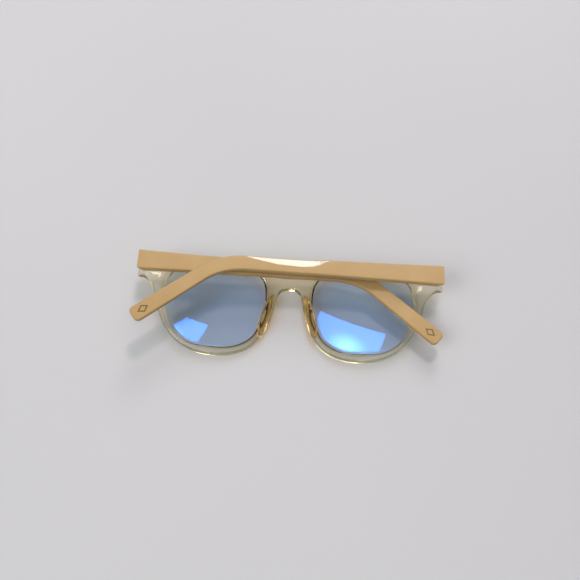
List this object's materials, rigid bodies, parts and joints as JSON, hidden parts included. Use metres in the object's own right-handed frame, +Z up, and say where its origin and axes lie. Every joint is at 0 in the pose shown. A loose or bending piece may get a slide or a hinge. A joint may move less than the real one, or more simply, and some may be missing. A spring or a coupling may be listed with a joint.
{
  "type": "blue light glasses",
  "caption": "Folding glasses with a clear tinted front, plano lenses with a blue-reflecting coat, amber nose pads and flat tan temples on barrel hinges, folded shut.",
  "frame": {"origin": "on the surface that the front's outer face lies on, below the middle of the folded glasses", "axes": "+X to the wearer's right along the front, +Y to the top of the front, +Z up, back towards the wearer"},
  "size_m": [0.141, 0.047, 0.0199],
  "materials": {
    "clear_front": "polished clear moulded plastic with a faint champagne tint",
    "lens": "clear optical resin with a hard coat that reflects blue",
    "amber_pad": "polished translucent golden amber plastic",
    "tan_temple": "opaque satin tan plastic with a fine grain",
    "hinge_metal": "satin nickel silver",
    "screw_metal": "bright turned steel",
    "wire_metal": "plain drawn steel"
  },
  "bodies": {
    "front": {"front_frame": "clear_front", "left_lens": "lens", "right_lens": "lens", "left_nose_pad": "amber_pad", "right_nose_pad": "amber_pad", "left_front_hinge": "hinge_metal", "right_front_hinge": "hinge_metal", "left_hinge_screw": "screw_metal", "right_hinge_screw": "screw_metal", "left_front_screw_lower": "screw_metal", "left_front_screw_upper": "screw_metal", "right_front_screw_lower": "screw_metal", "right_front_screw_upper": "screw_metal"},
    "left_temple": {"left_temple": "tan_temple", "left_temple_hinge": "hinge_metal", "left_core_wire": "wire_metal", "left_temple_screw_lower": "screw_metal", "left_temple_screw_upper": "screw_metal"},
    "right_temple": {"right_temple": "tan_temple", "right_temple_hinge": "hinge_metal", "right_core_wire": "wire_metal", "right_temple_screw_lower": "screw_metal", "right_temple_screw_upper": "screw_metal"}
  },
  "joints": [
    {"name": "left_temple_fold", "type": "hinge", "parent": "front", "child": "left_temple", "pos_m": [-0.0656, 0.0158, 0.012], "axis": [0, -1, 0], "range_deg": [0, 97]},
    {"name": "right_temple_fold", "type": "hinge", "parent": "front", "child": "right_temple", "pos_m": [0.0656, 0.0158, 0.012], "axis": [0, 1, 0], "range_deg": [0, 92.7]}
  ]
}
